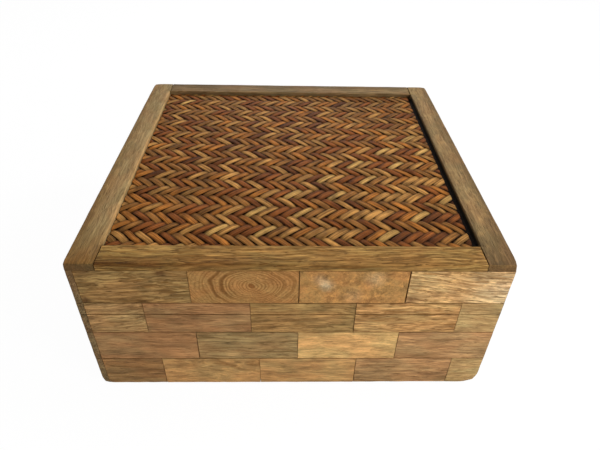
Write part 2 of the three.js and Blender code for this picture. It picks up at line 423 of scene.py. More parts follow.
class Nodes:
    """A node tree, with short ways to add what the materials and the studio need."""

    # The sockets of a mix node that hold its colours
    COLOUR_A, COLOUR_B, COLOUR_OUT = 6, 7, 2

    def __init__(self, tree):
        self.tree = tree

    def feed(self, socket, value):
        if isinstance(value, bpy.types.NodeSocket):
            self.tree.links.new(value, socket)
        else:
            socket.default_value = value

    def add(self, kind, inputs=(), **settings):
        """A new node with its settings; inputs gives what each of its sockets is fed."""
        node = self.tree.nodes.new(kind)
        for key, value in settings.items():
            setattr(node, key, value)
        for key, value in dict(inputs).items():
            self.feed(node.inputs[key], value)
        return node

    def math(self, operation, a, b=0.0):
        return self.add("ShaderNodeMath", {0: a, 1: b}, operation=operation).outputs[0]

    def times(self, a, b):
        return self.math("MULTIPLY", a, b)

    def vector(self, operation, a, b):
        return self.add("ShaderNodeVectorMath", {0: a, 1: b}, operation=operation).outputs[0]

    def length(self, vector):
        return self.add("ShaderNodeVectorMath", {0: vector}, operation="LENGTH").outputs["Value"]

    def noise(self, vector, stretch, detail=3.0, roughness=0.55):
        """Noise on a place in millimetres; stretch is how many cells fit in one millimetre each way."""
        place = self.vector("MULTIPLY", vector, stretch)
        inputs = {"Vector": place, "Scale": 1.0, "Detail": detail, "Roughness": roughness}
        return self.add("ShaderNodeTexNoise", inputs)

    def noise_at(self, vector, stretch, detail=3.0, roughness=0.55):
        return self.noise(vector, stretch, detail, roughness).outputs["Fac"]

    def noise_along(self, distance, cells_per_mm, detail=2.0):
        inputs = {"W": distance, "Scale": cells_per_mm, "Detail": detail}
        return self.add("ShaderNodeTexNoise", inputs, noise_dimensions="1D").outputs["Fac"]

    def spread(self, value, low, high, to_low=0.0, to_high=1.0):
        """to_low where the value is low, to_high where it is high, and evenly between."""
        inputs = {"Value": value, "From Min": low, "From Max": high, "To Min": to_low, "To Max": to_high}
        return self.add("ShaderNodeMapRange", inputs, clamp=True).outputs["Result"]

    def mix(self, factor, a, b):
        inputs = {0: factor, self.COLOUR_A: a, self.COLOUR_B: b}
        return self.add("ShaderNodeMix", inputs, data_type="RGBA").outputs[self.COLOUR_OUT]

    def tint(self, colour, factor):
        return self.vector("MULTIPLY", colour, factor)

    def colour_attribute(self, name):
        return self.add("ShaderNodeAttribute", attribute_name=name).outputs["Color"]

    def vector_attribute(self, name):
        return self.add("ShaderNodeAttribute", attribute_name=name).outputs["Vector"]

    def parts(self, vector):
        outputs = self.add("ShaderNodeSeparateXYZ", {0: vector}).outputs
        return outputs[0], outputs[1], outputs[2]

    def place_mm(self):
        """Where a point lies on the resting box, in millimetres."""
        place = self.add("ShaderNodeTexCoord").outputs["Object"]
        return self.vector("MULTIPLY", place, (1 / MM, 1 / MM, 1 / MM))


class Surface(Nodes):
    """A new material, made up in its node tree."""

    def __init__(self, name):
        self.material = bpy.data.materials.new(name)
        self.material.use_nodes = True
        super().__init__(self.material.node_tree)
        self.shader = self.tree.nodes["Principled BSDF"]

    def bump(self, height, depth):
        node = self.add("ShaderNodeBump", {"Height": height, "Distance": depth})
        self.feed(self.shader.inputs["Normal"], node.outputs["Normal"])

    def colour(self, value):
        self.feed(self.shader.inputs["Base Color"], value)

    def roughness(self, value):
        self.feed(self.shader.inputs["Roughness"], value)

    def gloss(self, level):
        self.feed(self.shader.inputs["Specular IOR Level"], level)


# Materials

# What the features of the timber make of a block's tone
LATE_WOOD = (0.42, 0.33, 0.23)
EARLY_WOOD = (1.55, 1.5, 1.35)
HEARTWOOD = (1.05, 0.97, 0.93)
SAPWOOD = (0.95, 1.01, 1.0)
PITH = (0.5, 0.34, 0.22)
OPEN_PORE = (0.2, 0.13, 0.07)
JOINT_GRIME = (0.24, 0.16, 0.09)

# Tones of the boards, and painted shade for the lid board's top and for the gaps in the weave
BOARD_TONE = linear(196, 162, 116)
BOARD_STREAK_TONE = linear(150, 112, 72)
LID_TOP_SHADE_TONE = linear(24, 16, 11)
WEAVE_GAP_SHADE = linear(20, 7, 2)

# What painted glints and dark fibres make of a strand's tone
PAINTED_GLINT = (1.7, 1.65, 1.5)
DARK_FIBRE = (0.36, 0.26, 0.18)

# Heights over the table in mm: where the lid board's painted shade starts, and levels of the weave for
# its painted shade and highlight
PAINTED_SHADE_START = 120.9
DEEPEST_GAP = 121.9
FLOAT_FOOT = 122.6
GAP_RIM = 123.2
FLOAT_CREST = 124.0


class Timber(Surface):
    """Waxed hardwood, which reads from blocks and rails how each was cut, toned and soiled, and where
    light and shade are painted on the rails.
    """

    def __init__(self, name, streak_length):
        super().__init__(name)
        self.streak_length = streak_length
        self.timber = self.vector_attribute("timber")
        self.tone = self.colour_attribute("tone")
        self.rings, self.streaks, self.flecks = self.parts(self.vector_attribute("figure"))
        self.border, self.soil, _ = self.parts(self.vector_attribute("border"))
        self.bent = self.bent_grain()
        self.radius = self.length(self.vector("MULTIPLY", self.bent, (0, 1, 1)))
        self.fibre = self.noise_at(self.bent, self.streak_cells(0.9, 0.5), detail=5.0, roughness=0.65)
        self.grain = self.noise_at(self.bent, (0.055, 0.85, 0.85), detail=4.0, roughness=0.65)
        pore = self.noise_at(self.timber, (0.14, 0.9, 0.9), detail=2.0)
        self.pores = self.spread(pore, 0.61, 0.7)
        self.dark = self.tint(self.tone, LATE_WOOD)
        self.light = self.tint(self.tone, EARLY_WOOD)

    def streak_cells(self, per_streak, across):
        """The cells of a pattern that has per_streak of them in the length of a streak."""
        return (per_streak / self.streak_length, across, across)

    def drift(self, cells, detail, reach):
        """A drift of the grain to its sides, by up to half the reach in mm."""
        noise = self.noise(self.timber, cells, detail=detail).outputs["Color"]
        return self.vector("MULTIPLY", self.vector("SUBTRACT", noise, (0.5, 0.5, 0.5)), (0, reach, reach))

    def bent_grain(self):
        sway = self.drift((0.012, 0.03, 0.03), detail=2.0, reach=9)
        ripple = self.drift((0.05, 0.12, 0.12), detail=1.0, reach=3)
        return self.vector("ADD", self.timber, self.vector("ADD", sway, ripple))

    def ring_wave(self, distance, spacing):
        """From -1 to 1 and back, once in every ring."""
        turns = self.math("DIVIDE", distance, spacing)
        return self.math("SINE", self.times(turns, 2 * math.pi))

    def late_wood(self):
        """The dark line of each year's ring, which is stronger in some years than in others."""
        uneven = self.times(self.noise_along(self.radius, 0.2), RING_UNEVENNESS)
        growth = self.ring_wave(self.math("ADD", self.radius, uneven), RING_SPACING)
        age = self.noise_along(self.radius, 0.13, detail=1.0)
        return self.times(self.spread(growth, -0.3, 1.0), self.spread(age, 0.4, 0.65, 0.25, 0.65))

    def wide_rings(self):
        """A few broad rings 9 to 24 mm from the pith, to its sides and strongest on its left."""
        aside = self.parts(self.bent)[1]
        sideways = self.math("DIVIDE", self.math("ABSOLUTE", aside), self.radius)
        from_first = self.math("SUBTRACT", self.radius, WIDE_RING_START)
        strength = self.spread(self.ring_wave(from_first, WIDE_RING_SPACING), -0.1, 0.9)
        for share in (
            self.spread(self.radius, 9, 14),
            self.spread(self.radius, 24, 20),
            self.spread(sideways, 0.45, 0.85, 0.1, 0.8),
            self.spread(aside, -6, 6, 1.1, 0.6),
        ):
            strength = self.times(strength, share)
        return strength

    def clouded_tone(self, mottle):
        """The block's tone, here warmer and there cooler, and clouded where rings don't rule it."""
        hue = self.noise_at(self.timber, (0.03, 0.07, 0.07), detail=2.0)
        cloud = self.noise_at(self.bent, self.streak_cells(0.9, 0.15), detail=5.0, roughness=0.62)
        sapwood = self.tint(self.tone, SAPWOOD)
        colour = self.mix(self.spread(hue, 0.4, 0.6), sapwood, self.tint(self.tone, HEARTWOOD))
        clouded = self.tint(colour, self.spread(cloud, 0.3, 0.7, 1 + mottle, 1 - mottle))
        return self.mix(self.spread(self.rings, 0.6, 1.0, 1.0, 0.4), colour, clouded)

    def with_streaks(self, colour):
        """Dark and light streaks along the grain, and thin dark veins."""
        shade = self.times(self.spread(self.fibre, 0.48, 0.7, 0, 0.85), self.streaks)
        colour = self.mix(shade, colour, self.dark)
        colour = self.mix(self.spread(self.fibre, 0.47, 0.3, 0, 0.5), colour, self.light)
        vein = self.noise_at(self.bent, self.streak_cells(0.3, 0.3), detail=3.0)
        from_vein = self.math("ABSOLUTE", self.math("SUBTRACT", vein, 0.5))
        line = self.spread(from_vein, 0.05, 0.015, 0, 0.6)
        return self.mix(self.times(line, self.streaks), colour, self.dark)

    def with_rings(self, colour):
        """Growth rings, broad rings and the dark pith in their middle."""
        for strength in (self.late_wood(), self.wide_rings()):
            colour = self.mix(self.times(strength, self.rings), colour, self.dark)
        return self.mix(self.spread(self.radius, 2.1, 1.3, 0, 0.8), colour, self.tint(self.tone, PITH))

    def with_flecks(self, colour):
        fleck = self.noise_at(self.timber, (0.12, 0.2, 0.2), detail=5.0, roughness=0.6)
        strength = self.times(self.spread(fleck, 0.52, 0.68), self.flecks)
        return self.mix(strength, colour, self.light)

    def rough_sawn(self, colour):
        """The fine marks that the saw leaves, and the open pores, both stronger in streaky wood."""
        sawn = self.tint(colour, self.spread(self.grain, 0.25, 0.75, 0.25, 1.8))
        half_streaks = self.times(self.streaks, 0.5)
        colour = self.mix(self.math("ADD", 0.3, half_streaks), colour, sawn)
        pore_depth = self.times(self.pores, self.math("ADD", 0.15, half_streaks))
        return self.mix(pore_depth, colour, self.tint(self.tone, OPEN_PORE))

    def with_grime_and_shade(self, colour):
        """Grime along the joints, and how soiled the whole block is, which on the rails also carries
        painted shade and highlight.
        """
        ragged_border = self.math("ADD", self.border, self.times(self.fibre, 1.6))
        grime = self.spread(ragged_border, 0.7, 1.2, 0.3, 0.0)
        return self.tint(self.mix(grime, colour, self.tint(self.tone, JOINT_GRIME)), self.soil)

    def add_relief(self):
        relief = self.math("ADD", self.times(self.fibre, 0.6), self.grain)
        self.bump(self.math("SUBTRACT", relief, self.times(self.pores, 0.6)), depth=0.4 * MM)


def waxed_wood(name, streak_length, mottle):
    """Reclaimed hardwood: rings round a pith, long streaks, short dark pores and pale flecks."""
    wood = Timber(name, streak_length)
    colour = wood.with_streaks(wood.clouded_tone(mottle))
    colour = wood.with_flecks(wood.with_rings(colour))
    wood.colour(wood.with_grime_and_shade(wood.rough_sawn(colour)))
    wood.roughness(wood.spread(wood.fibre, 0.3, 0.7, 0.5, 0.75))
    wood.gloss(0.1)
    wood.add_relief()
    return wood.material


def board_wood(name, cells, painted_shade_above=None):
    """A plain sanded board; cells is how many of its streaks fit in a millimetre each way."""
    wood = Surface(name)
    place = wood.place_mm()
    fibre = wood.noise_at(place, cells, detail=4.0, roughness=0.6)
    fine = wood.noise_at(place, tuple(4 * count for count in cells), detail=2.0)
    tone = wood.mix(wood.spread(fibre, 0.35, 0.68), BOARD_TONE, BOARD_STREAK_TONE)
    colour = wood.tint(tone, wood.spread(fine, 0.3, 0.7, 0.86, 1.1))
    # Painted shade: the lid board's top, seen only in the gap beside the panel, is made near black
    if painted_shade_above is not None:
        height = wood.parts(place)[2]
        colour = wood.mix(wood.math("GREATER_THAN", height, painted_shade_above), colour, LID_TOP_SHADE_TONE)
    wood.colour(colour)
    wood.roughness(wood.spread(fine, 0.3, 0.7, 0.7, 0.85))
    wood.gloss(0.1)
    wood.bump(wood.math("ADD", fibre, fine), depth=0.2 * MM)
    return wood.material


def cane():
    """Split cane: fibres along each strand, patchy tones, painted glints, painted shade where it dives
    and at its edges, and darker at the back right.
    """
    strand = Surface("woven_strands")
    run = strand.vector_attribute("strand")
    tone = strand.colour_attribute("tone")
    right, depth, height = strand.parts(strand.place_mm())
    fibre = strand.noise_at(run, (0.06, 2.2, 1), detail=3.0, roughness=0.6)
    line = strand.noise_at(run, (0.02, 1.1, 1), detail=2.0)
    patch = strand.noise_at(run, (0.06, 0.1, 1), detail=3.0)
    colour = strand.tint(tone, strand.spread(patch, 0.32, 0.68, 0.4, 1.5))
    # Painted highlight: pale glints along the strands
    colour = strand.mix(strand.spread(line, 0.45, 0.32, 0, 0.6), colour, strand.tint(tone, PAINTED_GLINT))
    colour = strand.mix(strand.spread(line, 0.5, 0.68, 0, 0.7), colour, strand.tint(tone, DARK_FIBRE))
    # Painted light and shade: lighter along each strand's middle and on its crests, darker at its edges
    # and low down; the weave is also darker towards the back right
    from_middle = strand.math("ABSOLUTE", strand.parts(run)[1])
    cornerward = strand.math("ADD", depth, strand.times(right, 0.3))
    for shade in (
        strand.spread(fibre, 0.3, 0.7, 0.66, 1.3),
        strand.spread(from_middle, 1.4, 3.0, 1.1, 0.5),
        strand.spread(height, FLOAT_FOOT, FLOAT_CREST, 0.5, 1.15),
        strand.spread(cornerward, 60, 160, 1.0, 0.72),
    ):
        colour = strand.tint(colour, shade)
    # Painted shade: near black in the deep gaps between the strands
    strand.colour(strand.mix(strand.spread(height, GAP_RIM, DEEPEST_GAP), colour, WEAVE_GAP_SHADE))
    strand.roughness(strand.spread(fibre, 0.3, 0.7, 0.42, 0.62))
    strand.gloss(0.05)
    strand.bump(fibre, depth=0.3 * MM)
    return strand.material


def brushed_metal(name, bright, dull, roughness):
    """Metal with fine brushing from side to side, duller and rougher where it has tarnished."""
    metal = Surface(name)
    place = metal.place_mm()
    brushing = metal.noise_at(place, (0.4, 9, 9), detail=2.0)
    tarnish = metal.noise_at(place, (0.35, 0.35, 0.35), detail=4.0)
    metal.colour(metal.mix(metal.spread(tarnish, 0.4, 0.72), bright, dull))
    metal.feed(metal.shader.inputs["Metallic"], 1.0)
    metal.roughness(metal.spread(tarnish, 0.35, 0.7, roughness, roughness + 0.25))
    metal.bump(brushing, depth=0.02 * MM)
    return metal.material


tile_wood = waxed_wood("tile_wood", streak_length=26, mottle=0.45)
rail_wood = waxed_wood("rail_wood", streak_length=34, mottle=0.25)
woven_strands = cane()


# Looks of the blocks

class Look:
    """What one block looks like: its tone, how its grain lies and how strong each figure is.

    pith is where the middle of its tree lies, right of, above and behind the middle of its face in
    mm. dive is how steeply the grain runs into the face and slant how it rises to the right, in
    degrees. open_joint is how much wider than usual the joint on its right is, in mm. Each of the
    spots has its place to the right of and above the block's middle, its reach, strength and tone.
    """

    def __init__(
        self, tone, pith=(0, 40, 60), dive=2, slant=0, rings=0.35, streaks=0.7, flecks=0.1,
        open_joint=0, spots=(),
    ):
        self.tone = tone
        self.pith = pith
        self.dive = math.radians(dive)
        self.slant = math.radians(slant)
        self.figure = (rings, streaks, flecks)
        self.open_joint = open_joint * MM
        self.spots = spots

    def place_in_timber(self, centre):
        """What turns a place on a block with this centre into its place in the tree, in mm."""
        turn = Matrix.Rotation(self.dive, 3, "Z") @ Matrix.Rotation(self.slant, 3, "Y")
        right, up, behind = self.pith
        heart = centre + Vector((right, behind, up)) * MM
        return lambda place: (turn @ (place - heart)) / MM

    def tone_at(self, right, up):
        """The tone at a place given from the block's middle, in mm."""
        tone = self.tone
        for spot_right, spot_up, reach, strength, spot_tone in self.spots:
            share = strength * max(0, 1 - math.hypot(right - spot_right, up - spot_up) / reach)
            tone = blend(tone, spot_tone, share)
        return tone


FRONT_LOOKS = {
    "top": [
        Look(
            OLIVE, pith=(400, 30, 40), slant=3, streaks=1.0, rings=0.3,
            spots=[(19.5, 13, 6, 1.0, CHIPPED), (-35, -12, 4.5, 1.0, CHIPPED)],
        ),
        Look(AMBER, pith=(6, 1.5, 0), dive=42, rings=1.0, streaks=0.1, open_joint=0.3),
        Look(
            AMBER, pith=(300, -50, 50), dive=58, rings=0.0, streaks=0.05, flecks=0.9, open_joint=0.5,
            spots=[
                (-19, 2, 6, 0.5, BLEACHED), (-23, 7, 6, 0.25, BLEACHED), (14, 8, 9, 0.18, BLEACHED),
                (0, -8, 9, 0.1, BLEACHED),
            ],
        ),
        Look(
            STRAW, pith=(100, 60, 70), slant=-7, rings=0.3, streaks=1.1, flecks=0.6,
            spots=[(33, -2, 32, 0.34, BLEACHED), (-31, -12, 6, 0.9, CHIPPED)],
        ),
    ],
    "third": [
        Look(TAN, pith=(-200, 50, 40), slant=8, streaks=0.8),
        Look(RED_BROWN, pith=(50, -40, 60), streaks=0.5),
        Look(OLIVE, pith=(700, 40, 50), streaks=0.7, open_joint=0.2),
        Look(GOLDEN, pith=(900, -40, 50), streaks=1.0),
        Look(PALE_OLIVE, pith=(100, 60, 70), slant=-4, streaks=0.5),
    ],
    "second": [
        Look(RED_BROWN, pith=(120, 40, 60), streaks=0.2, open_joint=0.2),
        Look(GREY_OLIVE, pith=(-300, -40, 45), streaks=0.65),
        Look(HONEY, pith=(60, -45, 20), dive=6, rings=0.3, streaks=0.25, flecks=0.2),
        Look(PINK_BROWN, pith=(500, 60, 50), streaks=0.5),
    ],
    "bottom": [
        Look(BROWN, pith=(200, -30, 60), streaks=0.4),
        Look(GOLDEN, pith=(60, 12, 10), dive=10, rings=0.6, streaks=0.15, flecks=0.5),
        Look(GOLDEN, pith=(-200, 60, 80), streaks=0.15, rings=0.15, flecks=0.3, open_joint=0.1),
        Look(PINK_BROWN, pith=(-500, -60, 50), streaks=0.65),
        Look(PALE_OLIVE, pith=(800, 30, 40), streaks=0.6),
    ],
}


def any_look(dice):
    """A look for a block that the photograph doesn't show."""
    return Look(
        dice.choice(BLOCK_TONES),
        pith=(dice.uniform(-900, 900), dice.choice((-1, 1)) * dice.uniform(15, 60), dice.uniform(20, 80)),
        dive=dice.choice((2, 2, 3, 7, 14)),
        slant=dice.uniform(-8, 8),
        rings=dice.uniform(0.2, 0.6),
        streaks=dice.uniform(0.4, 1.0),
        flecks=dice.choice((0, 0, 0.1, 0.5)),
    )


# Block tiles

def both_at(start, end, axis, level):
    return abs(start[axis] - level) < ON_FACE and abs(end[axis] - level) < ON_FACE


def on_rim(start, end, axes, low, high):
    """Whether an edge lies on a side of the block across one of the axes."""
    return any(both_at(start, end, axis, limit[axis]) for axis in axes for limit in (low, high))


def make_tile(name, low, high):
    """One block, its face towards -Y: eased at the box's corners, a small arris elsewhere."""
    tile = add_bar(name, low, high)
    cut_across(tile, X, TILE_CELL)
    cut_across(tile, Z, TILE_CELL)

    def width_of(start, end):
        on_face = both_at(start, end, Y, low.y)
        on_end = both_at(start, end, X, HALF_BOX)
        if on_face and on_end:
            return EASED_EDGE
        if both_at(start, end, Z, 0) and (on_face or on_end):
            return EASED_FOOT
        if on_face and on_rim(start, end, (X, Z), low, high):
            return TILE_ARRIS
        return 0
    ease_edges(tile, width_of)
    return tile


def sink(piece, place, inward, reach, depth):
    """Moves what lies within reach of a place inward, most of all at the place itself."""
    for vertex in piece.data.vertices:
        share = 1 - (vertex.co - place).length / reach
        if share > 0:
            vertex.co += inward * depth * share ** SINK_POWER


def sand_corners(piece):
    """Rubs the corners of the box round."""
    for side_x, side_y, on_top, reach, depth in SANDED_CORNERS:
        corner = Vector((side_x * HALF_BOX, side_y * HALF_BOX, on_top * BOX_HEIGHT))
        inward = Vector((-side_x, -side_y, -1 if on_top else 1))
        sink(piece, corner, inward.normalized(), reach * MM, depth * MM)


def chip_front(piece):
    """Breaks the chips out of the front, where the left side's end blocks show too."""
    for right, up, reach, depth in CHIPS:
        place = Vector((right * MM, -HALF_BOX, up * MM))
        sink(piece, place, Vector((0, 1, 0)), reach * MM, depth * MM)


def tile_spans(course):
    """Where each tile of a course starts and ends, seen from outside."""
    start = -HALF_BOX + TILE_THICKNESS + GLUE_LINE
    joints = [start]
    joint = start + FIRST_TILE[course]
    while joint < HALF_BOX - SHORTEST_TILE:
        joints.append(joint)
        joint += TILE_LENGTH
    joints.append(HALF_BOX)
    return list(zip(joints, joints[1:]))


def course_middle(course):
    """The height of the middle of a course, sawn or not."""
    strips = COURSES[course]
    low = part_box(f"front_{strips[0][0]}")[0]
    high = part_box(f"front_{strips[-1][0]}")[1]
    return (low.z + high.z) / 2


def lay_tile(name, side, course, number, span, levels):
    """One block of a course, in its place on the front, with what its material needs to know."""
    dice = random.Random(f"{side} {course} {number}")
    look = FRONT_LOOKS[course][number] if side == "front" else any_look(dice)
    start, end = span
    at_corner = end == HALF_BOX
    foot = max(levels[0] - COURSE_CLOSING, 0)
    low = Vector((start + TILE_GAP, -HALF_BOX, foot))
    high = Vector((end, -HALF_BOX + TILE_THICKNESS, levels[1] + COURSE_CLOSING))
    if not at_corner:
        high.x -= TILE_GAP + look.open_joint
    tile = make_tile(name, low, high)

    middle = Vector(((start + end) / 2, -HALF_BOX, course_middle(course)))
    store_vector(tile, "timber", look.place_in_timber(middle))
    store_vector(tile, "figure", lambda place: look.figure)
    soil = dice.uniform(*TILE_SOIL)

    def tone_of(place):
        if at_corner and place.x > high.x - END_GRAIN_DEPTH:
            return END_GRAIN
        return look.tone_at((place.x - middle.x) / MM, (place.z - middle.z) / MM)
    store_tone(tile, tone_of)

    def border_of(place):
        right_margin = FAR_FROM_RIM if at_corner else high.x - place.x
        margin = min(place.x - low.x, right_margin, place.z - low.z, high.z - place.z)
        return (max(margin, 0) / MM, soil, 0)
    store_vector(tile, "border", border_of)
    tile.location.y = dice.uniform(0, TILE_SET_BACK)
    settle(tile)
    return tile


def lay_strip(side, quarter_turns, course, node, body):
    """The blocks of one strip, laid on the front and then turned to their side."""
    low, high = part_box(node)
    tiles = [
        lay_tile(f"{node}_{number}", side, course, number, span, (low.z, high.z))
        for number, span in enumerate(tile_spans(course))
    ]
    strip = join(tiles, f"{node}_blocks")
    strip.rotation_euler.z = quarter_turns * math.pi / 2
    settle(strip)
    wear_down(strip, block_wear, TILE_WEAR)
    sand_corners(strip)
    chip_front(strip)
    # The right side's blocks lap over the ends of the back's, so the bevel cuts both
    if side in ("back", "right") and course == "third":
        cut_back_edge(strip, above_seam=body == "lid", pockets=side == "back")
    smooth_round_edges(strip)
    finish(strip, tile_wood, body, node)


def cut_back_edge(strip, above_seam, pockets):
    """The bevel behind the hinge axis, and the pockets for the hinges' barrels and leaves."""
    up = -1 if above_seam else 1
    axis = Vector((0, HINGE_AXIS_Y, SEAM_HEIGHT))
    bisect_away(strip, axis, Vector((0, math.sin(BEVEL_ANGLE), up * math.cos(BEVEL_ANGLE))))
    if not pockets:
        return
    for place in HINGE_PLACES:
        barrel = axis + Vector((place, 0, 0))
        deselect_all()
        bpy.ops.mesh.primitive_cylinder_add(
            vertices=BARREL_POCKET_SIDES, radius=BARREL_POCKET_RADIUS, depth=2 * BARREL_POCKET_REACH,
            location=barrel, rotation=(0, math.pi / 2, 0),
        )
        cut_away(strip, bpy.context.object)
        leaf = barrel - Vector((0, LEAF_POCKET_INSET, 0))
        cut_away(strip, add_bar("leaf_pocket", leaf - LEAF_POCKET_REACH, leaf + LEAF_POCKET_REACH))
    inform_new_vertices(strip)


block_wear = clouds("block_wear", TILE_WEAR_SIZE)
for quarter_turns, side in enumerate(("front", "right", "back", "left")):
    for course, strips in COURSES.items():
        for strip, body in strips:
            lay_strip(side, quarter_turns, course, f"{side}_{strip}", body)


# Rails

def other_way(axis):
    return Y if axis == X else X


def shape_rail(rail, long_axis, low, high):
    """Eases the plank's outer edges, and gives it an arris along the panel and its joints."""
    cut_across(rail, X, RAIL_CELL)
    cut_across(rail, Y, RAIL_CELL)
    cut_across(rail, Z, RAIL_HALF_THICKNESS)

    def width_of(start, end):
        on_top = both_at(start, end, Z, high.z)
        on_sides = [
            any(both_at(start, end, axis, limit) for limit in (-HALF_BOX, HALF_BOX)) for axis in (X, Y)
        ]
        if all(on_sides) or (on_top and any(on_sides)):
            return EASED_EDGE
        if not on_top:
            return 0
        if min(abs(start[long_axis]), abs(end[long_axis])) > OPENING_REACH - ON_FACE:
            return TILE_ARRIS
        return RAIL_ARRIS if on_rim(start, end, (X, Y), low, high) else 0
    ease_edges(rail, width_of)


def place_rail_in_timber(rail, long_axis, middle, look):
    """Lets the top of the plank show the grain as a block's face does."""
    face_front = Matrix.Rotation(math.pi / 2, 3, "X")
    if long_axis == Y:
        face_front = face_front @ Matrix.Rotation(-math.pi / 2, 3, "Z")
    in_timber = look.place_in_timber(Vector((0, 0, 0)))
    store_vector(rail, "timber", lambda place: in_timber(face_front @ (place - middle)))
    store_vector(rail, "figure", lambda place: look.figure)


def stain_and_shade_rail(rail, long_axis, top, tone, edge_stain_and_shadow_tone, stain_fade):
    """Tones the plank: dark ends, and along the outer edge of the top a darker tone, a stain on the front
    rail and painted shadow on the others, which also darkens the side rails' front ends.
    """
    def tone_of(place):
        if HALF_BOX - abs(place[long_axis]) < END_GRAIN_DEPTH:
            return RAIL_END_TONE
        if place.z < top - EASED_EDGE - ON_FACE:
            return tone
        from_edge = HALF_BOX - abs(place[other_way(long_axis)])
        share = math.sqrt(max(0, 1 - from_edge / EDGE_STAIN_AND_SHADOW_REACH))
        share *= max(0, 1 - stain_fade * (place[long_axis] + HALF_BOX) / (2 * HALF_BOX))
        if long_axis == Y:
            share = max(share, 1 - (place.y + HALF_BOX) / FRONT_END_DARKENING_REACH)
        return blend(tone, edge_stain_and_shadow_tone, share)
    store_tone(rail, tone_of)


def soil_rail(rail, long_axis, low, high, inner_soil, arris_soil, face_soil):
    """Paints shade and highlight on the plank's side by the panel and its arris, darkens its outer face,
    and notes how far its ends are for the grime there.
    """
    def soil_of(place):
        reach = abs(place[other_way(long_axis)])
        beside_panel = abs(place[long_axis]) < OPENING_REACH
        # Painted shade on the side by the panel, and painted light and shade on the arris above it
        if beside_panel and reach < OPENING_REACH + ON_FACE:
            return inner_soil if place.z < high.z - RAIL_ARRIS - ON_FACE else arris_soil
        if place.z < high.z - EASED_EDGE - ON_FACE:
            return face_soil
        if beside_panel and reach < OPENING_REACH + RAIL_ARRIS + ON_FACE:
            return arris_soil
        return 1.0

    def border_of(place):
        ends = (place[long_axis] - low[long_axis], high[long_axis] - place[long_axis])
        return (max(min(ends), 0) / MM, soil_of(place), 0)
    store_vector(rail, "border", border_of)


def make_rail(
    node, long_axis, look, edge_stain_and_shadow_tone, stain_fade=0.0, inner_soil=1.0, arris_soil=1.0, face_soil=1.0,
):
    """One plank of the lid's frame, how its wax has aged where, and the light and shade painted on it.

    The edge tone darkens the outer edge of the top, as a stain on the front rail and as painted shadow
    on the others, and stain_fade is how much of that is lost at the right or back end. The three factors
    after it are painted shade on the side that faces the woven panel, painted light and shade on the
    arris above that side, lighter above 1 and darker below, and a darkening of the outer face.
    """
    low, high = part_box(node)
    rail = add_bar(f"{node}_plank", low, high)
    shape_rail(rail, long_axis, low, high)
    middle = Vector(((low.x + high.x) / 2, (low.y + high.y) / 2, high.z))
    place_rail_in_timber(rail, long_axis, middle, look)
    stain_and_shade_rail(rail, long_axis, high.z, look.tone, edge_stain_and_shadow_tone, stain_fade)
    soil_rail(rail, long_axis, low, high, inner_soil, arris_soil, face_soil)
    wear_down(rail, rail_wear, RAIL_WEAR)
    sand_corners(rail)
    smooth_round_edges(rail)
    finish(rail, rail_wood, "lid", node)


rail_wear = clouds("rail_wear", RAIL_WEAR_SIZE)
# Painted light on the rails: shadow along the outer edges of the side and back rails' tops, a highlight
# on the left rail's arris by the panel, shade on the right rail's arris, near black shade on its side by
# the panel, and shade on the back rail's side by the panel
make_rail(
    "left_rail", Y, Look(LEFT_RAIL_TONE, pith=(300, 30, 60), streaks=0.35, rings=0.3),
    LEFT_EDGE_SHADOW_TONE, stain_fade=0.6, arris_soil=1.35, face_soil=0.9
)
make_rail(
    "right_rail", Y, Look(RIGHT_RAIL_TONE, pith=(-600, -40, 50), streaks=0.4, rings=0.2, flecks=0.6),
    RIGHT_EDGE_SHADOW_TONE, stain_fade=0.3, inner_soil=0.02, arris_soil=0.7, face_soil=0.8
)
make_rail(
    "front_rail", X, Look(FRONT_RAIL_TONE, pith=(900, 20, 50), streaks=1.2, rings=0.4),
    FRONT_EDGE_TONE, stain_fade=1.1, face_soil=0.7
)
make_rail(
    "back_rail", X, Look(BACK_RAIL_TONE, pith=(-100, 20, 50), streaks=0.6, rings=0.3),
    RIGHT_EDGE_SHADOW_TONE, stain_fade=0.5, inner_soil=0.72
)


# Woven panel

STRAND_TONES = {
    "tan": linear(180, 130, 70),
    "pale_gold": linear(200, 155, 88),
    "orange": linear(166, 105, 46),
    "brown": linear(150, 101, 50),
    "red": linear(134, 77, 34),
    "dark": linear(104, 59, 26),
}
FALLING_SHARES = {"tan": 6, "orange": 4, "brown": 6, "red": 5, "dark": 1}
RISING_SHARES = {"tan": 6, "pale_gold": 4, "orange": 4, "brown": 5, "red": 4, "dark": 1}


def float_height(along):
    """How high a strand's middle lies, a crest at 0 and a trough half a repeat away."""
    swing = math.cos(2 * math.pi * along / REPEAT_LENGTH)
    return STRAND_LIFT * math.tanh(FLOAT_FLATNESS * swing) / math.tanh(FLOAT_FLATNESS)


def make_strand(width):
    """One strand along X: a flat oval rod that rises and dives, from one repeat many times over."""
    deselect_all()
    bpy.ops.mesh.primitive_cylinder_add(
        vertices=SECTION_SIDES, radius=0.5, depth=REPEAT_LENGTH, end_fill_type="NOTHING",
        rotation=(0, math.pi / 2, 0),
    )
    strand = bpy.context.object
    settle(strand)
    strand.scale = (1, width, STRAND_THICKNESS)
    settle(strand)
    cut_across(strand, X, REPEAT_LENGTH / RINGS_PER_REPEAT)
    for vertex in strand.data.vertices:
        vertex.co.z += float_height(vertex.co.x)
    array = strand.modifiers.new("repeat", "ARRAY")
    array.count = REPEATS
    array.use_merge_vertices = True
    array.merge_threshold = REPEAT_SEAM
    apply_modifier(strand, array)
    strand.location.x = -REPEAT_LENGTH * REPEATS / 2
    settle(strand)
    return strand


def shift_along(number, crest, side_of_row):
    """How far a strand is moved along itself, so that its floats lie in the herringbone's rows."""
    rows_crossed = (1 + math.cos(2 * STRAND_ANGLE)) * number
    shift = side_of_row * (rows_crossed - crest) * CROSSING_STEP
    return (shift + REPEAT_LENGTH / 2) % REPEAT_LENGTH


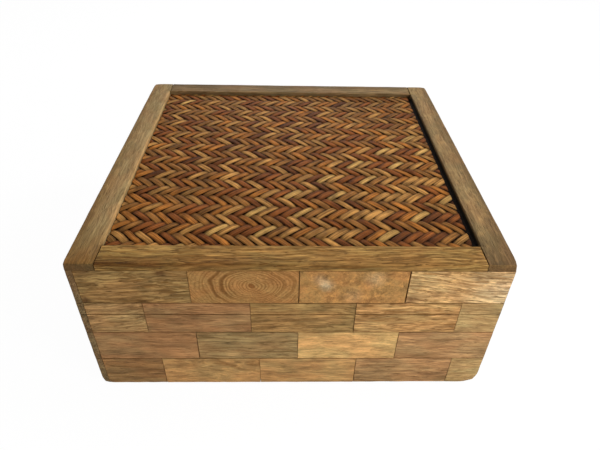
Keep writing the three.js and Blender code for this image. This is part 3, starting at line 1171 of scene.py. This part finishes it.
def weave_family(name, width, angle, crest, shares, side_of_row):
    """All strands of one family, laid side by side across the panel.

    crest is how far the crests are moved along the strands, in crossings, and side_of_row the way,
    1 or -1, in which they move on from strand to strand.
    """
    dice = random.Random(name)
    model = make_strand(width)
    low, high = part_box("woven_mat")
    middle = (low + high) / 2 + WEAVE_SHIFT
    panel = Matrix.Translation(middle) @ Matrix.Rotation(angle + WEAVE_TURN, 4, "Z")
    strands = []
    for number in range(-STRANDS_EACH_WAY, STRANDS_EACH_WAY + 1):
        strand = copy_of(model, f"{name}_{number}")
        tone = STRAND_TONES[dice.choices(list(shares), weights=list(shares.values()))[0]]
        pattern = dice.uniform(-PATTERN_SPREAD_MM, PATTERN_SPREAD_MM)
        store_tone(strand, lambda place: tone)
        store_vector(strand, "strand", lambda place: (place.x / MM, place.y / MM, pattern))
        across = number * STRAND_PITCH + dice.uniform(-STRAND_SHOVE, STRAND_SHOVE)
        size = (1, dice.uniform(*WIDTH_SPREAD), dice.uniform(*THICKNESS_SPREAD), 1)
        on_panel = Matrix.Translation((shift_along(number, crest, side_of_row), across, 0))
        strand.matrix_world = panel @ on_panel @ Matrix.Diagonal(size)
        settle(strand)
        strands.append(strand)
    bpy.data.objects.remove(model)
    return join(strands, name)


def trim_to_panel(weave):
    low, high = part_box("woven_mat")
    for axis in (X, Y):
        outward = Vector((0, 0, 0))
        outward[axis] = 1
        bisect_away(weave, high, outward)
        bisect_away(weave, low, -outward)


def skew_rows(weave):
    """The rows fan out a little towards the back, as the weaver pulled them."""
    for vertex in weave.data.vertices:
        vertex.co.y += WEAVE_SKEW * vertex.co.x * (vertex.co.y - WEAVE_SKEW_START)


def make_weave(name, width, angle, crest, shares, side_of_row):
    weave = weave_family(name, width, angle, crest, shares, side_of_row)
    skew_rows(weave)
    wear_down(weave, weave_drift, WEAVE_WOBBLE, "X")
    wear_down(weave, weave_drift, WEAVE_WOBBLE, "Y")
    wear_down(weave, strand_wear, STRAND_WEAR)
    trim_to_panel(weave)
    smooth_round_edges(weave, ROUND_STRAND_EDGE)
    finish(weave, woven_strands, "lid", "woven_mat")


weave_drift = clouds("weave_drift", WEAVE_WOBBLE_SIZE)
strand_wear = clouds("strand_wear", STRAND_WEAR_SIZE)
make_weave("woven_strands_falling", FALLING_WIDTH, -STRAND_ANGLE, FALLING_CREST, FALLING_SHARES, 1)
make_weave("woven_strands_rising", RISING_WIDTH, STRAND_ANGLE, RISING_CREST, RISING_SHARES, -1)


# Boards and hinges, whose solids already have the right shape

def dress(node, material):
    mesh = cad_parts[node].data
    mesh.materials.clear()
    mesh.materials.append(material)


board_along_x = board_wood("carcass_wood_along_x", (0.02, 0.5, 0.5))
board_along_y = board_wood("carcass_wood_along_y", (0.5, 0.02, 0.5))
lid_board_wood = board_wood("carcass_wood_lid_board", (0.02, 0.5, 0.5), painted_shade_above=PAINTED_SHADE_START)
brass = brushed_metal("hinge_brass", linear(205, 170, 105), linear(128, 98, 58), roughness=0.3)
steel = brushed_metal("pin_steel", linear(190, 190, 188), linear(120, 118, 114), roughness=0.25)

for node in ("base_board", "front_wall", "back_wall", "lid_front_wall", "lid_back_wall"):
    dress(node, board_along_x)
for node in ("left_wall", "right_wall", "lid_left_wall", "lid_right_wall"):
    dress(node, board_along_y)
dress("lid_board", lid_board_wood)
for hinge in ("left_hinge", "right_hinge"):
    dress(f"{hinge}_pin", steel)
    for part in ("body_leaf", "lid_leaf", "body_screw_1", "body_screw_2", "lid_screw_1", "lid_screw_2"):
        dress(f"{hinge}_{part}", brass)


# Camera, floor and light

def add_camera():
    turn = (
        Matrix.Rotation(CAMERA_YAW, 4, "Z")
        @ Matrix.Rotation(math.pi / 2 - CAMERA_PITCH, 4, "X")
        @ Matrix.Rotation(CAMERA_ROLL, 4, "Z")
    )
    data = bpy.data.cameras.new("camera")
    data.sensor_width = SENSOR_WIDTH_MM
    data.lens = FOCAL_PX / FRAME_WIDTH_PX * SENSOR_WIDTH_MM
    data.shift_x = (FRAME_WIDTH_PX / 2 - OPTICAL_CENTRE_PX[0]) / FRAME_WIDTH_PX
    data.shift_y = (OPTICAL_CENTRE_PX[1] - FRAME_HEIGHT_PX / 2) / FRAME_WIDTH_PX
    data.clip_start = NEAREST_SEEN
    camera = bpy.data.objects.new("camera", data)
    camera.matrix_world = Matrix.Translation(CAMERA_PLACE) @ turn
    put_in_scene(camera)
    bpy.context.scene.camera = camera


def seen_ray(nodes):
    """1 for rays that show the background: to the camera, in gloss and through glass."""
    path = nodes.add("ShaderNodeLightPath").outputs
    either = nodes.math("MAXIMUM", path["Is Camera Ray"], path["Is Glossy Ray"])
    return nodes.math("MAXIMUM", either, path["Is Transmission Ray"])


def add_floor():
    deselect_all()
    bpy.ops.mesh.primitive_plane_add(size=FLOOR_WIDTH)
    floor = bpy.context.object
    floor.name = "floor"
    white = Surface("white_floor")
    white.colour(FLOOR_PAINT)
    white.roughness(FLOOR_ROUGHNESS)
    glow = white.add("ShaderNodeEmission", {"Strength": FLOOR_GLOW})
    share = white.times(seen_ray(white), FLOOR_GLOW_SHARE)
    both = white.add("ShaderNodeMixShader", {0: share, 1: white.shader.outputs[0], 2: glow.outputs[0]})
    white.feed(white.tree.nodes["Material Output"].inputs["Surface"], both.outputs[0])
    floor.data.materials.append(white.material)


def add_world(light_level):
    world = bpy.data.worlds.new("studio")
    bpy.context.scene.world = world
    world.use_nodes = True
    nodes = Nodes(world.node_tree)
    background = nodes.tree.nodes["Background"]
    nodes.feed(background.inputs["Color"], (1, 1, 1, 1))
    strength = nodes.spread(seen_ray(nodes), 0.0, 1.0, light_level, 1.0)
    nodes.feed(background.inputs["Strength"], strength)


def add_area_light(name, place, target, size, watts):
    data = bpy.data.lights.new(name, "AREA")
    data.shape = "DISK"
    data.size = size
    data.energy = watts
    lamp = bpy.data.objects.new(name, data)
    lamp.location = place
    lamp.rotation_euler = (Vector(target) - Vector(place)).to_track_quat("-Z", "Y").to_euler()
    put_in_scene(lamp)


add_camera()
add_floor()
add_world(light_level=0.26)
add_area_light("key", place=(1.05, 0.2, 0.9), target=(0, 0, 0.1), size=0.6, watts=10)
add_area_light("back_light", place=(0, 1.0, 0.7), target=(0, -0.1, 0.1), size=0.4, watts=2.2)
add_area_light("front_fill", place=(0.6, -0.6, 0.35), target=(0.05, -0.15, 0.05), size=0.4, watts=4.2)
bpy.context.scene.view_settings.view_transform = "Standard"
